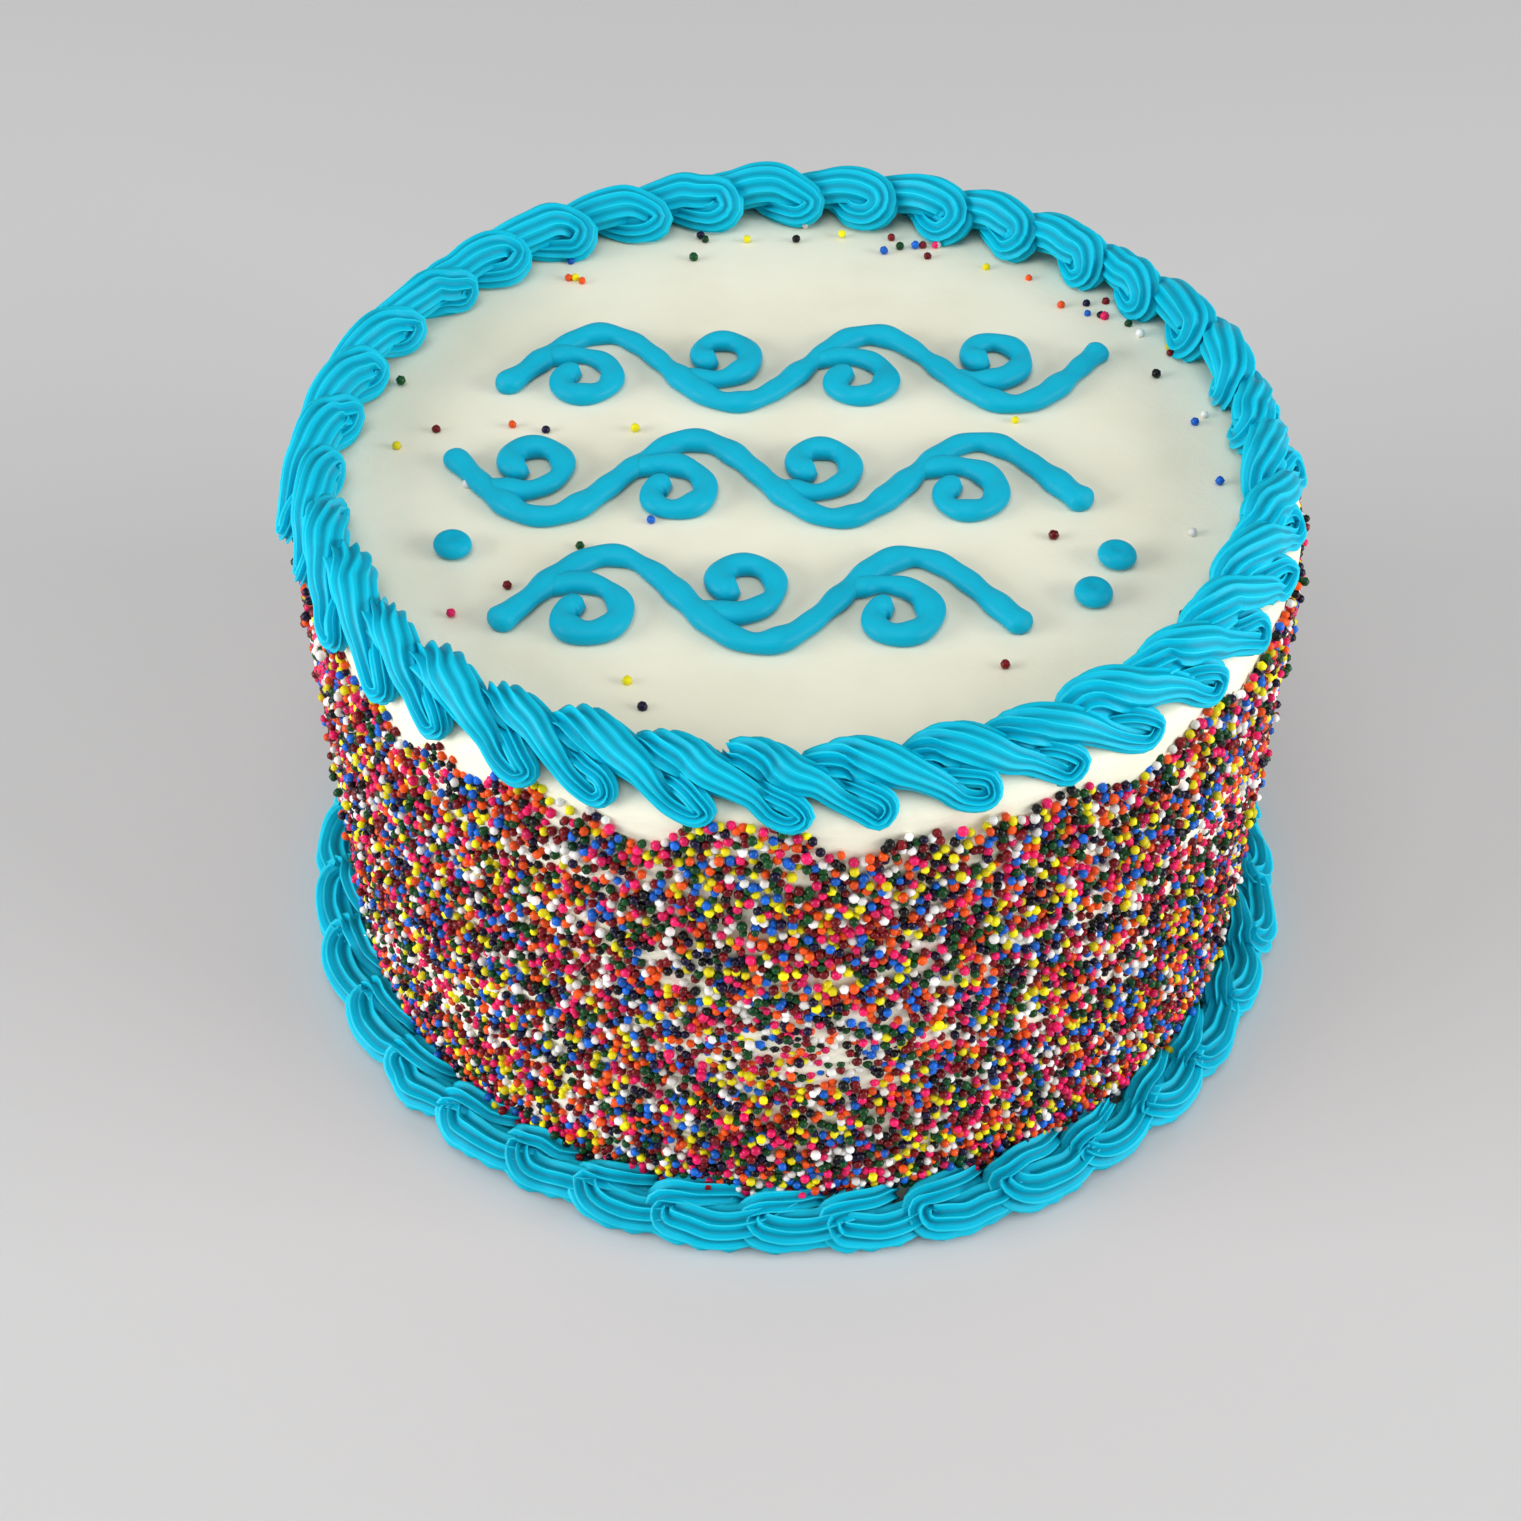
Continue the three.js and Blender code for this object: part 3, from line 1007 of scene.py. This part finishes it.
@dataclass
class ScrollRow:
    """One row of piped scroll work: a waving stem with a curl in each of its bends."""

    name: str
    half_waves: int
    side: int
    finish: BlueIcing
    half_wave: float = 28.5
    wave_rise: float = 12.5
    stem_lead: float = 0.22
    curl_start: float = 11.5
    curl_end: float = 2.8
    curl_turns: float = 1.2
    curl_steps: int = 70
    width: float = 4.9
    height: float = 3.9
    step: float = 0.7
    sides: int = 24
    sunk: float = 0.5
    stem_steps: int = 160
    end_reach: float = 1.17
    smoothings: int = 3
    bulb: float = 0.2
    bulb_length: float = 2.4
    lumps: float = 0.15
    lump_lengths: tuple[float, ...] = (1.3, 2.3, 4.1, 7.0)
    lump_height: float = 2.4
    buried_girth: float = 0.5
    full_girth: float = 1.2
    growth: float = 9.0
    tip: float = 0.02
    lift: float = 0.75

    def __post_init__(self) -> None:
        """Reads the row's place from its solid, whose ends reach past the stem's line."""
        low, high = box_mm(self.name)
        self.left = low.x + self.stem_lead * self.half_wave + self.end_reach
        bends = [self.facing(bend) for bend in range(self.half_waves)]
        above = self.wave_rise if 1 in bends else 0
        self.middle = high.y - above - self.width / 2

    def facing(self, bend: int) -> int:
        """1 where that bend lies above the row's middle, and -1 where it lies below."""
        return self.side * (1 if bend % 2 == 0 else -1)

    def stem(self) -> Points:
        """Draws the stem's line, flat.

        Returns:
            Pairs of x and y.
        """
        phases = np.linspace(-self.stem_lead, self.half_waves + self.stem_lead, self.stem_steps)
        rise = self.side * self.wave_rise * np.sin(phases * math.pi)
        return np.column_stack((self.left + phases * self.half_wave, self.middle + rise))

    def curl(self, bend: int) -> Points:
        """The line of the curl in one bend, flat, from the stem inwards.

        Args:
            bend: the number of the half wave that it fills.

        Returns:
            Pairs of x and y.
        """
        facing = self.facing(bend)
        heading = math.atan(self.wave_rise * math.pi / self.half_wave)
        step = self.curl_turns * math.tau / self.curl_steps
        x, y = self.left + bend * self.half_wave, 0.0
        line = [(x, self.middle)]
        for number in range(self.curl_steps):
            share = (number + 0.5) / self.curl_steps
            reach = self.curl_start * (self.curl_end / self.curl_start) ** share
            x += reach * step * math.cos(heading - step / 2)
            y += reach * step * math.sin(heading - step / 2)
            heading -= step
            line.append((x, self.middle + facing * y))
        return np.array(line)

    def strand(self, flat: Points, seed: int,
               buried: bool) -> tuple[Points, list[tuple[int, ...]], Points]:
        """Pipes a soft round strand along a flat line, with blunt ends.

        Args:
            flat: the line's x and y.
            seed: sets where the strand swells.
            buried: whether it grows out of another strand instead of starting blunt.

        Returns:
            Vertices, faces and the ridge mark, which paints a highlight on the strand's top and
            shade beneath it.
        """
        lengths = np.append(0, np.cumsum(np.linalg.norm(np.diff(flat, axis=0), axis=1)))
        count = max(12, round(lengths[-1] / self.step))
        at = np.linspace(0, lengths[-1], count)
        centres = np.column_stack([np.interp(at, lengths, flat[:, axis]) for axis in (0, 1)])
        for _ in range(self.smoothings):
            centres[1:-1] = (centres[:-2] + 2 * centres[1:-1] + centres[2:]) / 4
        tangents = np.gradient(centres, axis=0)
        tangents /= np.linalg.norm(tangents, axis=1, keepdims=True)
        aside = np.column_stack((-tangents[:, 1], tangents[:, 0]))
        end = self.width / 2
        from_end = np.minimum(at, at[-1] - at)
        blunt = np.sqrt(np.clip(1 - (1 - np.clip(from_end / end, 0, 1)) ** 2, 0.0, 1))
        bulb = 1 + self.bulb * np.exp(-((from_end - end) / self.bulb_length) ** 2)
        draw = np.random.default_rng(seed)
        lump = sum(np.sin(at / wave + draw.uniform(0, math.tau)) for wave in self.lump_lengths)
        size = blunt * bulb * (1 + self.lumps * lump / self.lump_height)
        if buried:
            grown = np.clip(at / self.growth, 0, 1)
            grown = grown * grown * (3 - 2 * grown)
            size = np.minimum(size, mix(self.buried_girth, self.full_girth, grown))
        size[[0, -1]] = self.tip
        around = np.arange(self.sides) * math.tau / self.sides
        wide = np.cos(around)[None, :] * size[:, None] * self.width / 2
        tall = np.sin(around)[None, :] * size[:, None] * self.height / 2
        level = DECK - self.sunk + self.height / 2 * (self.lift + (1 - self.lift) * size)
        points = np.empty((count, self.sides, 3))
        points[:, :, :2] = centres[:, None, :] + aside[:, None, :] * wide[:, :, None]
        points[:, :, 2] = np.maximum(level[:, None] + tall, DECK - self.sunk)
        grid = grid_faces(count, self.sides, False)
        faces: list[tuple[int, ...]] = [face[::-1] for face in grid]
        last = (count - 1) * self.sides
        faces.append(tuple(range(self.sides)))
        faces.append(tuple(last + side for side in range(self.sides))[::-1])
        # Painted light: the mark rises on the strand's top for a painted highlight and falls
        # beneath it for painted shade.
        ridge = np.tile(np.clip(0.55 + 0.3 * np.sin(around), 0, 1), count)
        return points.reshape(-1, 3), faces, ridge

    def build(self) -> bpy.types.Object:
        """Pipes the stem and its curls.

        Returns:
            The piece.
        """
        lines = [self.stem()] + [self.curl(bend) for bend in range(self.half_waves)]
        all_points, all_faces, all_ridges = [], [], []
        start = 0
        for number, flat in enumerate(lines):
            seed = number + 100 * self.half_waves + self.side
            points, faces, ridge = self.strand(flat, seed, number > 0)
            all_points.append(points)
            all_faces += [tuple(start + corner for corner in face) for face in faces]
            all_ridges.append(ridge)
            start += len(points)
        return make_piece(self.name + "_piped", np.vstack(all_points), all_faces, self.finish,
                          (self.name,), {"ridge": np.concatenate(all_ridges)})


@dataclass
class PipedDrop:
    """One round drop, with the dimple that the tip leaves when it is lifted."""

    name: str
    finish: BlueIcing
    sides: int = 40
    rings: int = 18
    sunk: float = 0.4
    lowest_turn: float = -0.28
    waist: float = 0.42
    dimple: float = 0.55
    dimple_lip: float = 0.12
    dimple_width: float = 0.26
    out_of_round: float = 0.035

    def build(self) -> bpy.types.Object:
        """Turns the drop's outline, a little out of round.

        Returns:
            The piece.
        """
        low, high = box_mm(self.name)
        middle = (low + high) / 2
        radius, height = (high.x - low.x) / 2, high.z - DECK
        angles = np.arange(self.sides) * math.tau / self.sides
        points = []
        for ring in range(self.rings):
            turn = mix(self.lowest_turn, 0.5, ring / self.rings) * math.pi
            reach = math.cos(turn)
            level = height * (self.waist + (1 - self.waist) * math.sin(turn))
            dip = self.dimple * math.exp(-((reach - self.dimple_lip) / self.dimple_width) ** 2)
            out = radius * reach * (1 + self.out_of_round * np.sin(2 * angles + middle.x))
            up = np.full(self.sides, max(level - dip, -self.sunk) + DECK)
            points.append(np.column_stack((middle.x + out * np.cos(angles),
                                           middle.y + out * np.sin(angles), up)))
        points.append(np.array([[middle.x, middle.y, DECK + height - self.dimple]]))
        faces: list[tuple[int, ...]] = list(grid_faces(self.rings, self.sides, False))
        last = (self.rings - 1) * self.sides
        crown = self.rings * self.sides
        faces += [(crown, last + k, last + (k + 1) % self.sides) for k in range(self.sides)]
        faces.append(tuple(range(self.sides))[::-1])
        points = np.vstack(points)
        return make_piece(self.name + "_piped", points, faces, self.finish, (self.name,),
                          {"ridge": np.full(len(points), 0.6)})


@dataclass
class Studio:
    """The floor, the soft light and the camera."""

    floor_size: float = 6.0
    lens: float = 52.07
    sensor: float = 36.0
    camera_place: Place = (-0.00253, -0.3578, 0.3825)
    elevation: float = 47.07
    yaw: float = -0.634
    pitch: float = -2.639
    roll: float = -0.41
    aim: Place = (0.0, 0.0, 0.08)
    lamp_size: float = 1.3
    key_place: Place = (-0.2, -0.7, 2.1)
    key_watts: float = 14.0
    left_place: Place = (-1.8, -0.6, 0.5)
    left_watts: float = 39.0
    right_place: Place = (1.8, -0.6, 0.5)
    right_watts: float = 38.0
    sky: Colour = (1.0, 1.0, 1.0)
    sky_strength: float = 0.34

    def camera(self) -> bpy.types.Object:
        """Sets the camera where the photograph was taken from.

        Returns:
            The camera.
        """
        rise = math.radians(self.elevation)
        level = Matrix(((1, 0, 0), (0, math.sin(rise), math.cos(rise)),
                        (0, -math.cos(rise), math.sin(rise))))
        turned = (Matrix.Rotation(math.radians(self.roll), 3, "Z")
                  @ Matrix.Rotation(math.radians(self.pitch), 3, "X")
                  @ Matrix.Rotation(math.radians(self.yaw), 3, "Y") @ level)
        data = bpy.data.cameras.new("camera")
        data.sensor_width = data.sensor_height = self.sensor
        data.lens = self.lens
        data.clip_start, data.clip_end = 0.01, 50.0
        camera = bpy.data.objects.new("camera", data)
        camera.matrix_world = Matrix.Translation(self.camera_place) @ turned.transposed().to_4x4()
        bpy.context.scene.collection.objects.link(camera)
        bpy.context.scene.camera = camera
        return camera

    def floor(self) -> bpy.types.Object:
        """Lays the floor at the cake's foot.

        Returns:
            The floor.
        """
        half = self.floor_size / 2
        mesh = bpy.data.meshes.new("floor")
        mesh.from_pydata([(-half, -half, 0), (half, -half, 0), (half, half, 0), (-half, half, 0)],
                         [], [(0, 1, 2, 3)])
        mesh.materials.append(PaleFloor().material())
        floor = bpy.data.objects.new("floor", mesh)
        bpy.context.scene.collection.objects.link(floor)
        return floor

    def lamp(self, name: str, place: Place, watts: float) -> bpy.types.Object:
        """Hangs one soft square white light, turned to the cake.

        Args:
            name: the light's name.
            place: where it hangs, in metres.
            watts: its power.

        Returns:
            The light.
        """
        data = bpy.data.lights.new(name, "AREA")
        data.shape, data.size, data.energy = "SQUARE", self.lamp_size, watts
        lamp = bpy.data.objects.new(name, data)
        lamp.location = place
        towards = Vector(self.aim) - Vector(place)
        lamp.rotation_euler = towards.to_track_quat("-Z", "Y").to_euler()
        bpy.context.scene.collection.objects.link(lamp)
        return lamp

    def build(self) -> None:
        """Sets the whole stage."""
        self.camera()
        self.floor()
        self.lamp("key", self.key_place, self.key_watts)
        self.lamp("left", self.left_place, self.left_watts)
        self.lamp("right", self.right_place, self.right_watts)
        world = bpy.data.worlds.new("soft_sky")
        world.use_nodes = True
        sky = world.node_tree.nodes["Background"]
        sky.inputs["Color"].default_value = (*self.sky, 1.0)
        sky.inputs["Strength"].default_value = self.sky_strength
        scene = bpy.context.scene
        scene.world = world
        scene.view_settings.view_transform = "Standard"
        scene.view_settings.look = "None"


# In each blue, the crest colour is a painted highlight and the groove colour is painted shade.
BORDER_BLUE = BlueIcing("blue_border_icing", "icing_blue", crest=paint(30, 208, 234),
                        body=paint(0, 187, 218), groove=paint(0, 150, 180))
# The foot's copy of the border blue, with darker painted groove shade and a slightly darker body,
# standing in for the shade at the cake's foot.
FOOT_BLUE_SHADED = BlueIcing("blue_foot_icing_shaded", "icing_blue", crest=paint(40, 206, 234),
                      body=paint(0, 182, 212), groove=paint(0, 132, 160))
SCROLL_BLUE = BlueIcing("blue_scroll_icing", "icing_blue_deep", crest=paint(22, 184, 214),
                        body=paint(4, 168, 200), groove=paint(0, 132, 162), gloss_rough=0.34)

TOP_SHELL = (
    Stop(-4.6, -2.1, 5.2, 4.4, 1.8, 0.5), Stop(-1.2, -2.0, 6.0, 4.7, 1.4, 1.5),
    Stop(3.0, -1.3, 6.1, 4.6, 0.7, 2.4), Stop(7.5, 0.2, 5.3, 4.2, 0.4, 2.8),
    Stop(11.5, 1.8, 3.9, 3.6, 0.4, 3.0), Stop(15.5, 3.4, 1.7, 2.9, 0.6, 3.0),
    Stop(19.2, 4.9, -0.8, 2.7, 1.0, 3.0), Stop(22.6, 5.9, -2.0, 2.5, 1.2, 3.0),
    Stop(24.9, 5.7, -0.6, 2.4, 1.2, 3.0), Stop(23.8, 4.8, 1.5, 2.5, 1.1, 3.0),
    Stop(20.4, 3.1, 2.6, 2.6, 1.1, 3.0), Stop(16.8, 0.7, 2.1, 2.7, 1.1, 3.0),
    Stop(13.2, -1.3, 1.1, 2.9, 1.1, 3.0), Stop(10.4, -2.1, 3.2, 3.6, 1.5, 3.0),
)
TOP_SHELL_BEHIND = (
    Stop(-4.4, -1.2, 6.2, 3.9, 1.0), Stop(-1.0, -0.2, 6.8, 4.2, 0.8),
    Stop(3.0, 0.6, 6.5, 4.2, 0.7), Stop(7.5, 1.6, 5.2, 4.0, 0.7),
    Stop(11.5, 2.6, 3.7, 3.6, 0.7), Stop(15.5, 3.6, 1.4, 3.1, 0.9),
    Stop(18.6, 4.6, -0.6, 2.9, 1.1), Stop(21.0, 5.0, -1.2, 2.7, 1.1),
    Stop(22.6, 4.4, 0.6, 2.6, 1.1), Stop(21.4, 2.6, 2.6, 2.6, 1.1),
    Stop(18.6, -0.4, 2.6, 2.9, 1.1), Stop(15.6, -2.8, 2.4, 3.2, 1.1),
    Stop(12.4, -4.0, 2.6, 3.4, 1.1), Stop(10.2, -3.4, 4.4, 3.6, 1.1),
)
FOOT_SHELL = (
    Stop(9.0, -4.6, 6.2, 3.5, 1.1), Stop(5.0, -3.0, 7.1, 3.8, 1.2),
    Stop(0.8, -1.8, 7.4, 4.1, 1.4, 0.3), Stop(-2.6, -0.5, 6.7, 4.5, 1.7, 0.9),
    Stop(-4.4, 1.0, 5.4, 4.8, 1.9, 1.7), Stop(-2.9, 2.6, 4.6, 5.0, 1.8, 2.4),
    Stop(1.0, 3.2, 4.3, 5.1, 1.5, 2.8), Stop(5.0, 3.2, 4.3, 5.0, 1.4, 3.0),
    Stop(9.0, 2.7, 4.3, 4.8, 1.4, 3.0), Stop(13.0, 1.8, 4.3, 4.5, 1.3, 3.0),
    Stop(16.5, 0.5, 4.4, 4.0, 1.2, 3.0), Stop(19.8, -1.5, 4.8, 3.6, 1.1, 3.0),
    Stop(23.6, -3.8, 5.4, 3.4, 1.1, 3.0),
)


def main() -> None:
    """Builds the stage and the cake, piece by piece."""
    logging.basicConfig(level=logging.INFO, format="%(name)s %(message)s")
    Studio().build()
    CakeBody().build()
    SprinkleCoat().build()
    PipedRope("top_rope", "top_border", radius=94.0, base=DECK, start_degrees=267.0,
              stops=TOP_SHELL, back_stops=TOP_SHELL_BEHIND, finish=BORDER_BLUE,
              shift=TOP_SHIFT, kind=0).build()
    PipedRope("foot_rope", "bottom_border", radius=104.5, base=0.0, start_degrees=267.3,
              stops=FOOT_SHELL, back_stops=FOOT_SHELL, finish=FOOT_BLUE_SHADED,
              floor=0.0, ripple=0.5, kind=10).build()
    for name, half_waves, side in (("scroll_back", 4, 1), ("scroll_middle", 4, -1),
                                   ("scroll_front", 3, 1)):
        ScrollRow(name, half_waves, side, SCROLL_BLUE).build()
    for number in (1, 2, 3):
        PipedDrop(f"drop_{number}", SCROLL_BLUE).build()


if __name__ == "__main__":
    main()
